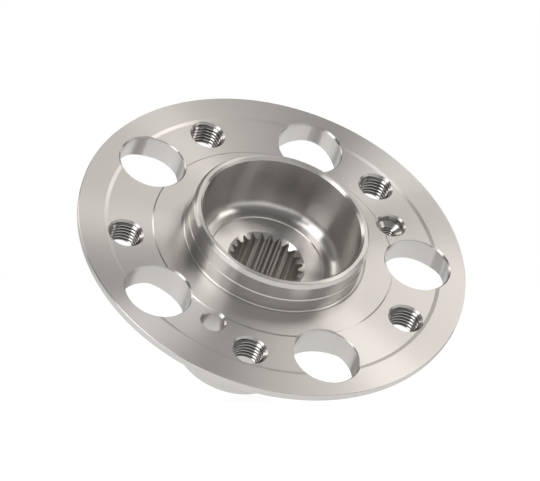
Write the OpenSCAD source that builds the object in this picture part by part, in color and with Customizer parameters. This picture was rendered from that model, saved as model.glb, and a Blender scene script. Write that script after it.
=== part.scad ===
// Wheel hub machined from one steel forging: a flange with five threaded wheel-bolt holes and
// five large holes, a centring spigot with a cup inside it, and a barrel with an internal spline.
// Millimetres. The origin is the centre of the wheel-bolt circle on the brake disc's face of the
// flange. +Z runs along the axle towards the outside of the vehicle. One wheel bolt lies on -Y.

/* [Flange] */
// Outer diameter of the flange
flange_d = 147; // [146:0.1:156]
// Thickness of the flange between its disc face and its flat back
flange_t = 9.9; // [9:0.1:13]
// Thickness left at the outer edge of the flange
rim_t = 3.1; // [2.6:0.1:6]
// Slope of the back near the outer edge, in degrees from the disc face
rim_slope = 39; // [34:1:48]
// Radius that blends the flat back into that slope
rim_blend_r = 9; // [2:0.5:10]
// Chamfer of the outer edge on the front
rim_chamfer = 0.2; // [0.1:0.1:0.6]
// Radius that rounds the outer edge on the back
rim_back_r = 3; // [0.5:0.1:4]
// Depth of the ring turned out of the disc face, where the bolts are
relief_depth = 0.3; // [0.2:0.1:1]
// Inner diameter of that ring
relief_inner_d = 91.6; // [86:0.2:94]
// Outer diameter of that ring
relief_outer_d = 126; // [124:0.5:134]
// Width of the sloped step on the inner side of that ring
relief_inner_step = 0.5; // [0.3:0.1:1.5]
// Width of the sloped step on its outer side
relief_outer_step = 1.4; // [0.3:0.1:2]

/* [Wheel bolts] */
// Number of wheel bolts
bolt_count = 5; // [5:1:5]
// Diameter of the circle through the wheel bolts
bolt_circle_d = 112; // [110:0.1:114.3]
// Nominal thread diameter of a wheel bolt
bolt_d = 12; // [10:0.5:14]
// Width of the countersink round each thread on the front
bolt_countersink_w = 0.7; // [0.3:0.1:1.2]

/* [Large holes] */
// Diameter of each of the five large holes
window_d = 24.5; // [20:0.5:25]
// Diameter of the circle through their centres
window_circle_d = 110.1; // [108:0.1:112]
// Angle from a wheel bolt to the next large hole, in degrees
window_shift = 30; // [28:1:44]
// Chamfer of the large holes
window_chamfer = 0.3; // [0.1:0.1:0.6]

/* [Disc screw and locating hole] */
// Diameter of the circle through both small holes
small_circle_d = 99.6; // [98:0.1:101]
// Nominal thread diameter of the brake disc's retaining screw
screw_d = 6; // [5:0.5:8]
// Diameter of the counterbore above that thread
screw_counterbore_d = 10.2; // [9.5:0.1:11]
// Depth of the counterbore's straight wall
screw_counterbore_depth = 4.3; // [2:0.1:6]
// Angle of the retaining screw's hole
screw_angle = 33.7; // [33:0.1:35]
// Diameter of the plain locating hole
locator_d = 8.5; // [6:0.1:10]
// Angle of the locating hole
locator_angle = 252.4; // [251:0.1:254]
// Chamfer of both small holes on the disc face
small_chamfer = 0.6; // [0.2:0.1:0.8]

/* [Spigot] */
// Diameter of the lower step, which centres the brake disc
disc_seat_d = 67; // [66.6:0.1:70]
// Height of the lower step above the disc face
disc_seat_h = 5.8; // [4:0.1:7]
// Height of the small cone between the lower and the upper step
seat_cone_h = 0.4; // [0.2:0.1:0.8]
// Diameter of the upper step, which centres the wheel
wheel_seat_d = 66.5; // [66:0.1:66.5]
// Height of the spigot above the disc face
spigot_h = 13; // [12:0.1:18]
// Height of the lead-in cone at the spigot's top
lead_in_h = 1.6; // [0.8:0.1:3]
// How much the lead-in cone takes off the radius
lead_in_w = 1; // [0.4:0.1:1.2]
// Width of the groove at the spigot's foot, which rises outwards
foot_groove_w = 1.6; // [1.2:0.1:3]
// Depth of that groove below the disc face
foot_groove_depth = 0.5; // [0.3:0.1:0.8]

/* [Cup] */
// Inner diameter of the cup at its mouth
cup_mouth_d = 60; // [58:0.1:60.4]
// Chamfer round the mouth
cup_chamfer = 0.9; // [0.4:0.1:1]
// Diameter of the cup at its floor
cup_floor_d = 54.8; // [52:0.1:57]
// Depth of the cup's floor below the disc face, at the wall
cup_floor_depth = 9.9; // [8.8:0.1:10.5]
// Radius between the cup's wall and its floor
cup_floor_r = 3.2; // [1:0.1:3.4]
// Diameter of the ridge where the conical nut seat begins
nut_seat_d = 40; // [38:0.1:42]
// Depth of that ridge below the disc face
nut_seat_depth = 7.7; // [6:0.1:8.7]

/* [Spline] */
// Number of spline teeth
spline_teeth = 24; // [24:1:24]
// Pitch diameter of the spline
spline_pitch_d = 26.4; // [26:0.1:26.8]
// Pressure angle of the spline, in degrees
spline_pressure_angle = 30; // [28:1:32]
// Angle of the first space between two teeth
spline_angle = 1.3; // [0:0.1:14.9]
// Diameter over the tips of the internal teeth
spline_tip_d = 24.9; // [24.6:0.1:25.6]
// Diameter over the bottoms of the spaces
spline_root_d = 28.3; // [27.2:0.1:28.4]
// Diameter of the spline's mouth in the cup's floor
spline_mouth_d = 29.4; // [29:0.1:31]
// Depth of that mouth below the disc face
spline_mouth_depth = 10.1; // [9.6:0.1:12]
// Depth of the conical lead-in at both ends of the spline
spline_lead_in = 1.4; // [0.8:0.1:2]

/* [Barrel] */
// Diameter of the journal that carries the wheel bearing
journal_d = 45; // [42:0.1:46]
// Length of the journal from the bearing's shoulder to the barrel's end
journal_l = 42.6; // [30:0.1:50]
// Distance from the disc face to the bearing's shoulder
shoulder_z = 17.6; // [17.4:0.1:22]
// Diameter of the bearing's shoulder
shoulder_d = 57; // [54:0.5:60]
// Radius at the foot of the shoulder's outside
shoulder_blend_r = 1.2; // [0.4:0.1:1.4]
// Radius between the journal and the shoulder
journal_blend_r = 0.8; // [0.4:0.1:1.5]
// Diameter at which the flange's flat back turns into the cone towards the barrel
web_start_d = 99.6; // [97:0.1:102]
// Slope of that cone, in degrees from the disc face
web_slope = 17; // [12:0.5:18]
// Chamfer at the barrel's end
journal_chamfer = 0.8; // [0.4:0.1:1.5]

/* [Hidden] */

$fn = 128;
// Steps of a rounded corner in the turned profile, and of a tooth's flank
corner_steps = 8;
flank_steps = 4;
// Radius that breaks an edge which a machinist only deburrs
edge_r = 0.2;
// Corner radius in the groove at the spigot's foot
foot_corner_r = 0.6;
// Overrun that keeps a cut clear of the face which it breaks through
over = 1;

steel = "silver";

flange_r = flange_d / 2;
barrel_end_z = -(shoulder_z + journal_l);
bolt_r = bolt_circle_d / 2;
bolt_angle = -90;
small_r = small_circle_d / 2;
drill_point_angle = 118;

// The web's cone meets the shoulder's outside here
web_run = (web_start_d - shoulder_d) / 2;
web_end_z = -flange_t - web_run * tan(web_slope);

// The rim's slope meets the flat back here
rim_slope_run = (flange_t - rim_t) / tan(rim_slope);

function unit(v) = v / norm(v);

// Corner p of a profile, rounded to the radius p[2] between its neighbours a and b.
function rounded_corner(a, p, b) =
    let (here = [p[0], p[1]])
    let (u = unit([a[0], a[1]] - here))
    let (v = unit([b[0], b[1]] - here))
    let (half = acos(u * v) / 2)
    let (centre = here + unit(u + v) * p[2] / sin(half))
    let (first = here + u * p[2] / tan(half) - centre)
    let (last = here + v * p[2] / tan(half) - centre)
    let (sweep = 180 - 2 * half)
    p[2] == 0 ? [here] : [
        for (i = [0:corner_steps])
            let (t = i / corner_steps)
            centre + (first * sin(sweep * (1 - t)) + last * sin(sweep * t)) / sin(sweep)
    ];

// A closed profile of corners [radius, height, corner radius].
function rounded_profile(c) =
    let (n = len(c))
    [for (i = [0:n - 1]) each rounded_corner(c[(i + n - 1) % n], c[i], c[(i + 1) % n])];

// Cup, nut seat and the bore over the spline's teeth, from the bottom of the barrel to the mouth.
function inside_corners() = [
    [spline_mouth_d / 2 - spline_lead_in, barrel_end_z, 0],
    [spline_tip_d / 2, barrel_end_z + spline_lead_in, 0],
    [spline_tip_d / 2, -spline_mouth_depth - spline_lead_in, 0],
    [spline_mouth_d / 2, -spline_mouth_depth, edge_r],
    [nut_seat_d / 2, -nut_seat_depth, edge_r],
    [cup_floor_d / 2, -cup_floor_depth, cup_floor_r],
    [cup_mouth_d / 2, spigot_h - cup_chamfer, 0],
    [cup_mouth_d / 2 + cup_chamfer, spigot_h, edge_r],
];

// The spigot's outside, from its top down to the groove at its foot.
function spigot_corners() = [
    [wheel_seat_d / 2 - lead_in_w, spigot_h, 2 * edge_r],
    [wheel_seat_d / 2, spigot_h - lead_in_h, edge_r],
    [wheel_seat_d / 2, disc_seat_h, 0],
    [disc_seat_d / 2, disc_seat_h - seat_cone_h, 0],
    [disc_seat_d / 2, -foot_groove_depth, foot_corner_r],
    [disc_seat_d / 2 + foot_groove_w, 0, 0],
];

// The flange's front and back, and the web that carries them on the barrel.
function flange_corners() = [
    [relief_inner_d / 2 - relief_inner_step, 0, 0],
    [relief_inner_d / 2, -relief_depth, 0],
    [relief_outer_d / 2 - relief_outer_step / 2, -relief_depth, 0],
    [relief_outer_d / 2 + relief_outer_step / 2, 0, 0],
    [flange_r - rim_chamfer, 0, 0],
    [flange_r, -rim_chamfer, 0],
    [flange_r, -rim_t, rim_back_r],
    [flange_r - rim_slope_run, -flange_t, rim_blend_r],
    [web_start_d / 2, -flange_t, edge_r],
    [shoulder_d / 2, web_end_z, shoulder_blend_r],
];

// The shoulder and journal that carry the wheel bearing.
function barrel_corners() = [
    [shoulder_d / 2, -shoulder_z, edge_r],
    [journal_d / 2, -shoulder_z, journal_blend_r],
    [journal_d / 2, barrel_end_z + journal_chamfer, 0],
    [journal_d / 2 - journal_chamfer, barrel_end_z, 0],
];

function hub_profile() =
    rounded_profile(concat(inside_corners(), spigot_corners(), flange_corners(), barrel_corners()));

// Half of a spline space at radius r, in degrees: an involute of the base circle.
function involute(angle) = tan(angle) * 180 / PI - angle;
function space_half_angle(r) =
    let (base_r = spline_pitch_d / 2 * cos(spline_pressure_angle))
    let (angle = acos(min(1, base_r / r)))
    90 / spline_teeth + involute(spline_pressure_angle) - involute(angle);

// One space between two teeth, pointing along +X.
module spline_space() {
    inner = spline_tip_d / 2;
    outer = spline_root_d / 2;
    flank = [
        for (i = [0:flank_steps])
            let (r = inner + (outer - inner) * i / flank_steps)
            [r, space_half_angle(r)]
    ];
    left = [for (f = flank) [f[0] * cos(f[1]), f[0] * sin(f[1])]];
    right = [for (i = [flank_steps:-1:0]) [left[i][0], -left[i][1]]];
    back = [[inner - over, right[flank_steps][1]], [inner - over, left[0][1]]];
    polygon(concat(left, right, back));
}

// All spaces of the spline, cut from end to end.
module spline_cut() {
    translate([0, 0, barrel_end_z - over])
        linear_extrude(height = -barrel_end_z - spline_mouth_depth + over)
            for (i = [0:spline_teeth - 1])
                rotate([0, 0, spline_angle + i * 360 / spline_teeth])
                    spline_space();
}

// A round hole through the flange at the place p, with a chamfer on the front.
module flange_hole(p, d, chamfer) {
    translate([p[0], p[1], 0]) {
        translate([0, 0, web_end_z])
            cylinder(h = over - web_end_z, d = d);
        translate([0, 0, -relief_depth - chamfer])
            cylinder(h = chamfer + over, d1 = d, d2 = d + 2 * (chamfer + over));
    }
}

function on_circle(r, angle) = [r * cos(angle), r * sin(angle)];

module bolt_holes() {
    for (i = [0:bolt_count - 1])
        flange_hole(
            on_circle(bolt_r, bolt_angle + i * 360 / bolt_count), bolt_d, bolt_countersink_w
        );
}

module windows() {
    for (i = [0:bolt_count - 1])
        flange_hole(
            on_circle(window_circle_d / 2, bolt_angle + window_shift + i * 360 / bolt_count),
            window_d, window_chamfer
        );
}

module locating_hole() {
    flange_hole(on_circle(small_r, locator_angle), locator_d, small_chamfer);
}

// Counterbore with a drill point, and the thread's hole below it.
module screw_hole() {
    p = on_circle(small_r, screw_angle);
    floor_z = -relief_depth - screw_counterbore_depth;
    point_h = screw_counterbore_d / 2 / tan(drill_point_angle / 2);
    translate([p[0], p[1], 0]) {
        translate([0, 0, floor_z])
            cylinder(h = screw_counterbore_depth + over, d = screw_counterbore_d);
        translate([0, 0, -relief_depth - small_chamfer])
            cylinder(
                h = small_chamfer + over,
                d1 = screw_counterbore_d,
                d2 = screw_counterbore_d + 2 * (small_chamfer + over)
            );
        translate([0, 0, floor_z - point_h])
            cylinder(h = point_h, d1 = 0, d2 = screw_counterbore_d);
        translate([0, 0, web_end_z])
            cylinder(h = -web_end_z, d = screw_d);
    }
}

module hub() {
    color(steel)
        difference() {
            rotate_extrude()
                polygon(hub_profile());
            spline_cut();
            bolt_holes();
            windows();
            locating_hole();
            screw_hole();
        }
}

hub();
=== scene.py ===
import bpy
import bmesh
import math
from mathutils import Matrix, Vector


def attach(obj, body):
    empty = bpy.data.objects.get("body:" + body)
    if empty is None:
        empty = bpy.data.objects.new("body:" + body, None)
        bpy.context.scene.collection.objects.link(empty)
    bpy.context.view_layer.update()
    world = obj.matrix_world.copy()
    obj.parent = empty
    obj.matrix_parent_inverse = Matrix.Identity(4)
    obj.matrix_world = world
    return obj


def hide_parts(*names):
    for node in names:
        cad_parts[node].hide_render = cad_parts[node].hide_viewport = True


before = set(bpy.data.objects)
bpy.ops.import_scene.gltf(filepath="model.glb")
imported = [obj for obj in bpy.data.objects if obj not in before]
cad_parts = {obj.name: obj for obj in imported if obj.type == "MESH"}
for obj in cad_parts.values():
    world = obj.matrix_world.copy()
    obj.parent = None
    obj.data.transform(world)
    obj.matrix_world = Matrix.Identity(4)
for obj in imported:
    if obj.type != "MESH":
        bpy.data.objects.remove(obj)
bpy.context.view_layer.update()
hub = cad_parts["hub"]

MM = 0.001

# The flange's features as the frame has them, in millimetres and degrees

BOLT_COUNT = 5
BOLT_CIRCLE_R = 56.0
FIRST_BOLT = -90.0
BOLT_MOUTH_R = 6.7
BOLT_R = 6.0
RELIEF_Z = -0.3
BACK_Z = -9.9
SCREW_CIRCLE_R = 49.8
SCREW_ANGLE = 33.7
SCREW_R = 3.0
SCREW_CONE_R = 5.1
DRILL_POINT = 118.0
RIM_CONTACT = (73.0, -3.5)
BARREL_CONTACT = (22.5, -59.4)
CONTACT_ANGLE = 294.3
SCREW_CENTRE = (
    SCREW_CIRCLE_R * math.cos(math.radians(SCREW_ANGLE)),
    SCREW_CIRCLE_R * math.sin(math.radians(SCREW_ANGLE)),
)

# Where the visible hub leaves the frame's mesh, in millimetres. SOLID values are the mesh's own, SEEN
# values are the photograph's, and the pairs are a radius and a height. The photograph shows an almost
# level nut seat, a small step, a level floor and a wide corner radius in the cup, where the mesh has a
# conical seat with a high ridge. It also shows the cone of the screw's counterbore less deep.

SEAT_FOOT = (14.71, -10.09)
SOLID_SEAT_R = 18.19
SOLID_RIDGE_R = 20.0
SOLID_FILLET = (24.67, -5.76)
SOLID_FILLET_R = 3.2
SOLID_WALL = (27.9, -5.5)
SEEN_SEAT = (21.3, -9.7)
SEEN_RIDGE = (21.6, -9.35)
SEEN_FILLET = (23.4, -4.9)
SOLID_CONE_Z = -4.6
SOLID_CONE_FOOT_Z = -5.9
SEEN_CONE_Z = -3.4
TOLERANCE = 0.1

# Threads, in millimetres. THREAD_FORM is one pitch: a part of it, and how far that stands to the axis.

BOLT_MINOR_R = 5.2
BOLT_PITCH = 1.5
SCREW_MINOR_R = 2.45
SCREW_PITCH = 1.0
THREAD_FORM = ((0.0, 0.0), (0.06, 0.0), (0.40, 1.0), (0.60, 1.0), (0.94, 0.0))
THREAD_STEPS = 72
THREAD_CLEARANCE = 0.02
WELD = 0.002
SLIVER = 0.001

# Steel. An upright of 1 is a level face and 0 is a wall. CUP_R holds the cup and all that lies within
# it, SPLINE_R the spline, both in millimetres, and so is the grooves' depth.

AXIS = (0, 0, 1)
STEEL = (0.525, 0.508, 0.49, 1)
# The threads' colour: the steel darkened as painted shade in the threaded bores.
THREAD_STEEL_PAINTED_SHADE = (0.4, 0.385, 0.37, 1)
FACE_ROUGHNESS = 0.28
WALL_ROUGHNESS = 0.26
CUP_ROUGHNESS = 0.23
SPLINE_ROUGHNESS = 0.14
THREAD_ROUGHNESS = 0.15
QUARTER_TURN = 0.25
FACE_UPRIGHT = 0.9
WALL_UPRIGHT = 0.3
LEVEL_UPRIGHT = 0.999
TOOTH_UPRIGHT = 0.1
CUP_R = 30.1
SPLINE_R = 14.2
FINE_SCALE = 2200.0
FINE_SHARE = 0.6
COARSE_SCALE = 420.0
COARSE_SHARE = 0.4
RING_DETAIL = 2.0
GROOVE_STRENGTH = 0.2
GROOVE_DEPTH = 0.03

# The photograph's camera: where it stands, its right, up and backward axes, and its lens

CAMERA_AT = Vector((-0.120916, -1.131755, 1.092454))
CAMERA_RIGHT = Vector((0.9532, 0.15176, 0.26149))
CAMERA_UP = Vector((-0.29271, 0.67975, 0.6725))
CAMERA_BACK = Vector((-0.07569, -0.71757, 0.69236))
LENS_MM = 287.264
SENSOR_MM = 36.0
CLIP_NEAR = 0.1
CLIP_FAR = 20.0

# Studio, in metres. Mirror rays see the backdrop fade in over BEHIND, by their cosine to the view, and
# fade out over LOW, by their cosine to the floor's upright.

TARGET = Vector((0, 0, -0.005))
LIGHT_DISTANCE = 1.4
WARM = (1.0, 0.965, 0.925)
NEUTRAL = (1.0, 0.99, 0.98)
WHITE = (1, 1, 1, 1)
ROOM = 0.25
BACKDROP = 1.0
BEHIND = (0.45, 0.75)
LOW = (0.2, 0.45)
FLOOR_HALF = 3.0
FLOOR_PAINT = 0.3
FLOOR_GLOW = 1.0
BOUNCE_PAINT = 0.8
BOUNCE_GLOW = 0.4
FLOOR_SHINE = 0.35
FLOOR_GLOSS = 0.1
FLOOR_IOR = 1.45


def link(obj):
    bpy.context.scene.collection.objects.link(obj)
    return obj


# Shaders

class Nodes:
    """Short calls that add and link the nodes of one material or world."""

    def __init__(self, owner):
        owner.use_nodes = True
        self.tree = owner.node_tree
        self.tree.nodes.clear()

    def put(self, n, name, value):
        socket = n.inputs[name]
        if isinstance(value, bpy.types.NodeSocket):
            self.tree.links.new(value, socket)
        else:
            socket.default_value = value

    def add(self, kind, settings=None, **inputs):
        n = self.tree.nodes.new(kind)
        for name, value in (settings or {}).items():
            setattr(n, name, value)
        for name, value in inputs.items():
            self.put(n, name.replace("_", " "), value)
        return n

    def row(self, n, values):
        for i, value in enumerate(values):
            self.put(n, i, value)
        return n.outputs

    def math(self, op, *values):
        return self.row(self.add("ShaderNodeMath", {"operation": op}), values)[0]

    def vector(self, op, *values):
        outputs = self.row(self.add("ShaderNodeVectorMath", {"operation": op}), values)
        return outputs["Value"] if op == "DOT_PRODUCT" else outputs["Vector"]

    def choose(self, factor, a, b):
        """Vector a where the factor is 0 and b where it is 1."""
        n = self.add("ShaderNodeMix", {"data_type": "VECTOR"}, Factor=factor)
        self.put(n, 4, a)
        self.put(n, 5, b)
        return n.outputs[1]

    def smooth(self, value, limits, start=0.0, end=1.0):
        n = self.add("ShaderNodeMapRange", {"interpolation_type": "SMOOTHSTEP"}, Value=value)
        self.put(n, "From Min", limits[0])
        self.put(n, "From Max", limits[1])
        self.put(n, "To Min", start)
        self.put(n, "To Max", end)
        return n.outputs[0]

    def noise(self, place, scale):
        n = self.add("ShaderNodeTexNoise", {"noise_dimensions": "2D"}, Vector=place, Scale=scale)
        self.put(n, "Detail", RING_DETAIL)
        return n.outputs[0]

    def mix_shader(self, factor, a, b):
        return self.row(self.add("ShaderNodeMixShader"), (factor, a, b))[0]

    def lit_glow(self, paint, glow):
        diffuse = self.add("ShaderNodeBsdfDiffuse", Color=(paint, paint, paint, 1)).outputs[0]
        emission = self.add("ShaderNodeEmission", Strength=glow).outputs[0]
        return self.row(self.add("ShaderNodeAddShader"), (diffuse, emission))[0]


def turned_tangent(n, at, normal, upright, splined):
    """Round the axis, and along it on the spline's teeth."""
    level = n.math("GREATER_THAN", upright, LEVEL_UPRIGHT)
    by_normal = n.vector("CROSS_PRODUCT", AXIS, normal)
    by_place = n.vector("CROSS_PRODUCT", AXIS, at)
    round_axis = n.choose(level, by_normal, by_place)
    return n.vector("NORMALIZE", n.choose(splined, round_axis, AXIS))


def turned_grooves(n, radius, z, splined):
    """Fine rings round the axis, as a bumped normal; the spline's teeth have none."""
    rings = n.add("ShaderNodeCombineXYZ", X=radius, Y=z).outputs[0]
    fine = n.math("MULTIPLY", n.noise(rings, FINE_SCALE), FINE_SHARE)
    coarse = n.math("MULTIPLY", n.noise(rings, COARSE_SCALE), COARSE_SHARE)
    height = n.math("ADD", fine, coarse)
    strength = n.math("MULTIPLY_ADD", splined, -GROOVE_STRENGTH, GROOVE_STRENGTH)
    bump = n.add("ShaderNodeBump", Strength=strength, Distance=GROOVE_DEPTH * MM, Height=height)
    return bump.outputs[0]


def turned_roughness(n, radius, upright, splined):
    """One roughness each for walls, faces, the cup with its bore, and the spline's teeth."""
    rough = n.smooth(upright, (WALL_UPRIGHT, FACE_UPRIGHT), WALL_ROUGHNESS, FACE_ROUGHNESS)
    in_cup = n.math("LESS_THAN", radius, CUP_R * MM)
    for mask, value in ((in_cup, CUP_ROUGHNESS), (splined, SPLINE_ROUGHNESS)):
        rough = n.math("MULTIPLY_ADD", mask, n.math("SUBTRACT", value, rough), rough)
    return rough


def turned_steel():
    """Steel turned about the hub's axis: fine rings, and a highlight drawn out across them."""
    m = bpy.data.materials.new("turned_steel")
    n = Nodes(m)
    place = n.add("ShaderNodeNewGeometry").outputs
    at = place["Position"]
    normal = place["Normal"]
    x, y, z = n.add("ShaderNodeSeparateXYZ", Vector=at).outputs
    radius = n.math("SQRT", n.math("ADD", n.math("MULTIPLY", x, x), n.math("MULTIPLY", y, y)))
    upright = n.math("ABSOLUTE", n.vector("DOT_PRODUCT", normal, AXIS))
    in_spline = n.math("LESS_THAN", radius, SPLINE_R * MM)
    splined = n.math("MULTIPLY", in_spline, n.math("LESS_THAN", upright, TOOTH_UPRIGHT))

    rough = turned_roughness(n, radius, upright, splined)
    steel = n.add("ShaderNodeBsdfPrincipled", Metallic=1.0, Roughness=rough, Anisotropic=1.0)
    n.put(steel, "Base Color", STEEL)
    n.put(steel, "Anisotropic Rotation", QUARTER_TURN)
    n.put(steel, "Tangent", turned_tangent(n, at, normal, upright, splined))
    n.put(steel, "Normal", turned_grooves(n, radius, z, splined))
    n.add("ShaderNodeOutputMaterial", Surface=steel.outputs[0])
    return m


def cut_steel_painted_shade():
    """Steel of the cut threads, a little darker than the turned surfaces: the darker colour is painted shade
    in the threaded bores.
    """
    m = bpy.data.materials.new("cut_steel_painted_shade")
    n = Nodes(m)
    steel = n.add("ShaderNodeBsdfPrincipled", Metallic=1.0, Roughness=THREAD_ROUGHNESS)
    n.put(steel, "Base Color", THREAD_STEEL_PAINTED_SHADE)
    n.add("ShaderNodeOutputMaterial", Surface=steel.outputs[0])
    return m


# The visible hub

def between(x, x0, x1, y0, y1):
    return y0 + (y1 - y0) * (x - x0) / (x1 - x0)


def seen_point(r, z):
    """Where a point of the mesh's cup floor lies on the visible hub."""
    if r > SOLID_FILLET[0]:
        grow = (SEEN_FILLET[1] - SEEN_RIDGE[1]) / SOLID_FILLET_R
        out = SEEN_FILLET[0] + (r - SOLID_FILLET[0]) * grow
        return out, SEEN_FILLET[1] + (z - SOLID_FILLET[1]) * grow
    if r > SOLID_RIDGE_R:
        out = between(r, SOLID_RIDGE_R, SOLID_FILLET[0], SEEN_RIDGE[0], SEEN_FILLET[0])
        return out, SEEN_RIDGE[1]
    if r > SOLID_SEAT_R:
        out = between(r, SOLID_SEAT_R, SOLID_RIDGE_R, SEEN_SEAT[0], SEEN_RIDGE[0])
        return out, between(out, SEEN_SEAT[0], SEEN_RIDGE[0], SEEN_SEAT[1], SEEN_RIDGE[1])
    out = between(r, SEAT_FOOT[0], SOLID_SEAT_R, SEAT_FOOT[0], SEEN_SEAT[0])
    return out, between(out, SEAT_FOOT[0], SEEN_SEAT[0], SEAT_FOOT[1], SEEN_SEAT[1])


def seen_normal(r, z, middle):
    """Unit normal at a corner of a face with that middle radius: its share outwards and upwards."""
    if middle > SEEN_FILLET[0]:
        n = Vector((SEEN_FILLET[0] - r, SEEN_FILLET[1] - z))
    elif middle > SEEN_RIDGE[0]:
        n = Vector((0, 1))
    elif middle > SEEN_SEAT[0]:
        n = Vector((SEEN_SEAT[1] - SEEN_RIDGE[1], SEEN_RIDGE[0] - SEEN_SEAT[0]))
    else:
        n = Vector((SEAT_FOOT[1] - SEEN_SEAT[1], SEEN_SEAT[0] - SEAT_FOOT[0]))
    return n.normalized()


def move_vertices(mesh):
    """Moves the cup's floor and the screw's cone to where they are seen, and returns the floor's vertices."""
    floor = set()
    for v in mesh.vertices:
        r = math.hypot(v.co.x, v.co.y) / MM
        z = v.co.z / MM
        if SEAT_FOOT[0] < r < SOLID_WALL[0] and SEAT_FOOT[1] - TOLERANCE < z < SOLID_WALL[1]:
            out, height = seen_point(r, z)
            v.co = (v.co.x * out / r, v.co.y * out / r, height * MM)
            floor.add(v.index)
        from_screw = math.dist((v.co.x / MM, v.co.y / MM), SCREW_CENTRE)
        in_cone = SOLID_CONE_FOOT_Z - TOLERANCE < z < SOLID_CONE_Z + TOLERANCE
        if in_cone and from_screw < SCREW_CONE_R + TOLERANCE:
            v.co.z += (SEEN_CONE_Z - SOLID_CONE_Z) * MM
    return floor


def floor_normals(mesh, floor, normals):
    """Puts the exact normals of the moved floor in the list of the mesh's corner normals."""
    for face in mesh.polygons:
        if not floor.issuperset(face.vertices):
            continue
        middle = math.hypot(face.center.x, face.center.y) / MM
        for corner in face.loop_indices:
            at = mesh.vertices[mesh.loops[corner].vertex_index].co
            r = math.hypot(at.x, at.y)
            away, upward = seen_normal(r / MM, at.z / MM, middle)
            normals[corner] = Vector((at.x / r * away, at.y / r * away, upward))


def make_hub():
    """A copy of the frame's mesh with the two places moved, which stands in for the node."""
    mesh = hub.data.copy()
    normals = [n.vector.copy() for n in mesh.corner_normals]
    floor = move_vertices(mesh)
    floor_normals(mesh, floor, normals)
    mesh.normals_split_custom_set(normals)
    mesh.materials.clear()
    mesh.materials.append(turned_steel())
    obj = link(bpy.data.objects.new("turned_hub", mesh))
    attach(obj, "root")
    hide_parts("hub")


# Threads

def thread_profile(lead, turns, major, minor, pitch, top):
    """Heights and radii down a thread at one angle, from a pitch above its top."""
    profile = []
    for k in range(turns):
        for part, stand in THREAD_FORM:
            z = top + pitch - lead - (k + part) * pitch
            profile.append((z, major - (major - minor) * stand))
    return profile


def cut_level(profile, bottom, wall):
    """The profile down to the bore's end, then a level end face out to the wall."""
    above = [point for point in profile if point[0] > bottom]
    (z0, r0), (z1, r1) = profile[len(above) - 1], profile[len(above)]
    cut = (bottom, between(bottom, z0, z1, r0, r1))
    return above + [cut] + [(bottom, wall)] * (len(profile) - len(above) - 1)


def thread(name, steel, centre, major, minor, pitch, top, bottom, mouth):
    """Helical ridges on a bore's wall; mouth gives the countersink's radius at a height."""
    turns = math.ceil((top - bottom) / pitch) + 2
    bm = bmesh.new()
    rows = []
    for i in range(THREAD_STEPS + 1):
        a = 2 * math.pi * i / THREAD_STEPS
        lead = i / THREAD_STEPS * pitch
        row = []
        for z, r in cut_level(thread_profile(lead, turns, major, minor, pitch, top), bottom, major):
            z = min(top, z)
            r = min(major, max(r, mouth(z)))
            x = centre[0] + r * math.cos(a)
            y = centre[1] + r * math.sin(a)
            row.append(bm.verts.new((x * MM, y * MM, z * MM)))
        rows.append(row)
    for left, right in zip(rows, rows[1:]):
        for k in range(len(left) - 1):
            bm.faces.new((left[k], right[k], right[k + 1], left[k + 1]))
    bmesh.ops.remove_doubles(bm, verts=bm.verts, dist=WELD * MM)
    bmesh.ops.dissolve_degenerate(bm, edges=bm.edges, dist=SLIVER * MM)
    mesh = bpy.data.meshes.new(name)
    bm.to_mesh(mesh)
    bm.free()
    mesh.materials.append(steel)
    obj = link(bpy.data.objects.new(name, mesh))
    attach(obj, "root")


def bolt_mouth(z):
    return BOLT_MOUTH_R + (z - RELIEF_Z)


def make_bolt_threads(steel):
    top = RELIEF_Z - (BOLT_MOUTH_R - BOLT_R)
    wall = BOLT_R - THREAD_CLEARANCE
    for i in range(BOLT_COUNT):
        a = math.radians(FIRST_BOLT + i * 360 / BOLT_COUNT)
        centre = (BOLT_CIRCLE_R * math.cos(a), BOLT_CIRCLE_R * math.sin(a))
        name = f"bolt_thread_{i + 1}"
        thread(name, steel, centre, wall, BOLT_MINOR_R, BOLT_PITCH, top, BACK_Z, bolt_mouth)


def make_screw_thread(steel):
    slope = 1 / math.tan(math.radians(DRILL_POINT / 2))
    top = SEEN_CONE_Z - (SCREW_CONE_R - SCREW_R) * slope
    wall = SCREW_R - THREAD_CLEARANCE

    def screw_mouth(z):
        return SCREW_CONE_R + (z - SEEN_CONE_Z) / slope

    thread("screw_thread", steel, SCREW_CENTRE, wall, SCREW_MINOR_R, SCREW_PITCH, top, BACK_Z, screw_mouth)


# Camera and lights

def make_camera():
    data = bpy.data.cameras.new("camera")
    data.sensor_fit = "HORIZONTAL"
    data.sensor_width = SENSOR_MM
    data.lens = LENS_MM
    data.clip_start = CLIP_NEAR
    data.clip_end = CLIP_FAR
    cam = link(bpy.data.objects.new("camera", data))
    axes = Matrix((CAMERA_RIGHT, CAMERA_UP, CAMERA_BACK)).transposed()
    cam.matrix_world = Matrix.Translation(CAMERA_AT) @ axes.to_4x4()
    bpy.context.scene.camera = cam


def seen_by(azimuth, tilt):
    """Direction that the camera sees mirrored in a surface whose normal tilts that way from +Z."""
    a = math.radians(azimuth)
    t = math.radians(tilt)
    normal = Vector((math.sin(t) * math.cos(a), math.sin(t) * math.sin(a), math.cos(t)))
    return (normal * 2 * normal.dot(CAMERA_BACK) - CAMERA_BACK).normalized()


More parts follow.
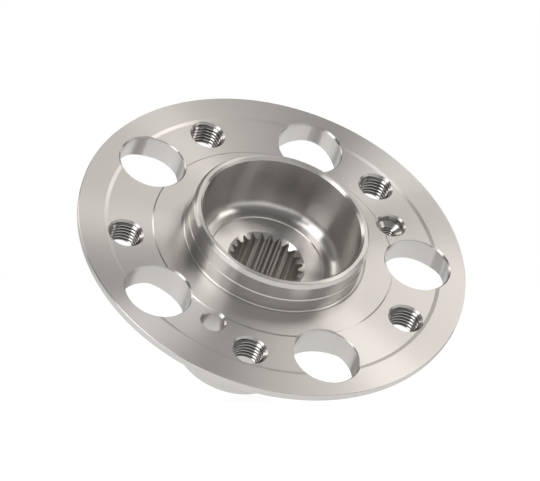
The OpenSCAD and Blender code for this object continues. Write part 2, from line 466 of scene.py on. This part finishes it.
def softbox(name, azimuth, tilt, length, width, radiance, color=WARM):
    """A soft light that the surfaces at one azimuth and tilt mirror; its length runs along their tilts."""
    toward = seen_by(azimuth, tilt)
    along = seen_by(azimuth, tilt + 1) - seen_by(azimuth, tilt - 1)
    x_axis = (along - toward * along.dot(toward)).normalized()
    y_axis = toward.cross(x_axis)
    data = bpy.data.lights.new(name, "AREA")
    data.shape = "RECTANGLE"
    data.size = length * LIGHT_DISTANCE
    data.size_y = width * LIGHT_DISTANCE
    data.energy = radiance * math.pi * data.size * data.size_y
    data.color = color
    obj = link(bpy.data.objects.new(name, data))
    axes = Matrix((x_axis, y_axis, toward)).transposed()
    obj.matrix_world = Matrix.Translation(TARGET + toward * LIGHT_DISTANCE) @ axes.to_4x4()


# Backdrop and floor

def floor_plane():
    """The plane that the flange's rim and the barrel's end rest on: a point and the upward normal."""
    a = math.radians(CONTACT_ANGLE)
    rim, barrel = (Vector((r * math.cos(a), r * math.sin(a), z)) for r, z in (RIM_CONTACT, BARREL_CONTACT))
    side = Vector((-math.sin(a), math.cos(a), 0))
    up = (barrel - rim).cross(side).normalized()
    if up.z < 0:
        up = -up
    lowest = min(up.dot(v.co) for v in hub.data.vertices)
    return up * lowest, up


def make_world(floor_up):
    """White to the camera; to other rays a room with a bright backdrop behind the hub and low down."""
    world = bpy.data.worlds.new("studio")
    bpy.context.scene.world = world
    n = Nodes(world)
    camera_ray = n.add("ShaderNodeLightPath").outputs["Is Camera Ray"]
    toward = n.add("ShaderNodeTexCoord").outputs["Generated"]
    behind = n.smooth(n.vector("DOT_PRODUCT", toward, tuple(-CAMERA_BACK)), BEHIND)
    low = n.smooth(n.vector("DOT_PRODUCT", toward, tuple(floor_up)), LOW, 1.0, 0.0)
    strength = n.math("MULTIPLY_ADD", n.math("MULTIPLY", behind, low), BACKDROP - ROOM, ROOM)
    room = n.add("ShaderNodeBackground", Color=WHITE, Strength=strength).outputs[0]
    white = n.add("ShaderNodeBackground", Color=WHITE, Strength=1.0).outputs[0]
    n.add("ShaderNodeOutputWorld", Surface=n.mix_shader(camera_ray, room, white))


def floor_material():
    """White to the camera and to mirror rays, a weaker glow to the others, and clear from below."""
    m = bpy.data.materials.new("floor")
    n = Nodes(m)
    path = n.add("ShaderNodeLightPath").outputs
    mirrored = n.math("MAXIMUM", path["Is Glossy Ray"], path["Is Transmission Ray"])
    shown = n.math("MAXIMUM", path["Is Camera Ray"], mirrored)
    base = n.mix_shader(shown, n.lit_glow(BOUNCE_PAINT, BOUNCE_GLOW), n.lit_glow(FLOOR_PAINT, FLOOR_GLOW))
    shine = n.add("ShaderNodeBsdfGlossy", Color=WHITE, Roughness=FLOOR_GLOSS).outputs[0]
    fresnel = n.add("ShaderNodeFresnel", IOR=FLOOR_IOR).outputs[0]
    weight = n.math("MULTIPLY", n.math("MULTIPLY", fresnel, FLOOR_SHINE), path["Is Camera Ray"])
    top = n.mix_shader(weight, base, shine)
    below = n.add("ShaderNodeNewGeometry").outputs["Backfacing"]
    clear = n.add("ShaderNodeBsdfTransparent").outputs[0]
    n.add("ShaderNodeOutputMaterial", Surface=n.mix_shader(below, top, clear))
    return m


def make_floor(floor_at, floor_up):
    side = floor_up.orthogonal().normalized() * FLOOR_HALF
    other = floor_up.cross(side)
    corners = (floor_at + side * a + other * b for a, b in ((-1, -1), (1, -1), (1, 1), (-1, 1)))
    mesh = bpy.data.meshes.new("floor")
    mesh.from_pydata([tuple(c) for c in corners], [], [(0, 1, 2, 3)])
    mesh.materials.append(floor_material())
    obj = link(bpy.data.objects.new("floor", mesh))


# Build

# The threads get the darker steel, which is painted shade in their bores.
thread_steel_painted_shade = cut_steel_painted_shade()
make_camera()
make_hub()
make_bolt_threads(thread_steel_painted_shade)
make_screw_thread(thread_steel_painted_shade)

floor_at, floor_up = floor_plane()
make_world(floor_up)
make_floor(floor_at, floor_up)

# Each light: its name, the azimuth and tilt of what mirrors it, its length and width as shares of the
# distance, and its radiance
softbox("ceiling", 60, 0, 0.5, 0.5, 0.45)
softbox("back_panel", 340, 10, 0.42, 0.54, 1.9)
softbox("right_panel", 318, 24, 0.42, 0.25, 2.7)
softbox("right_low", 355, 42, 0.42, 0.3, 1.7)
softbox("key_top", 238, 22, 0.5, 0.28, 2.8, color=NEUTRAL)
softbox("key", 234, 36, 0.42, 0.3, 3.6, color=NEUTRAL)
softbox("key_low", 238, 48, 0.42, 0.6, 1.9, color=NEUTRAL)
softbox("left_panel", 192, 30, 0.6, 0.24, 2.1)
softbox("left_low", 199, 50, 0.5, 0.5, 1.7)

bpy.context.scene.view_settings.view_transform = "Standard"
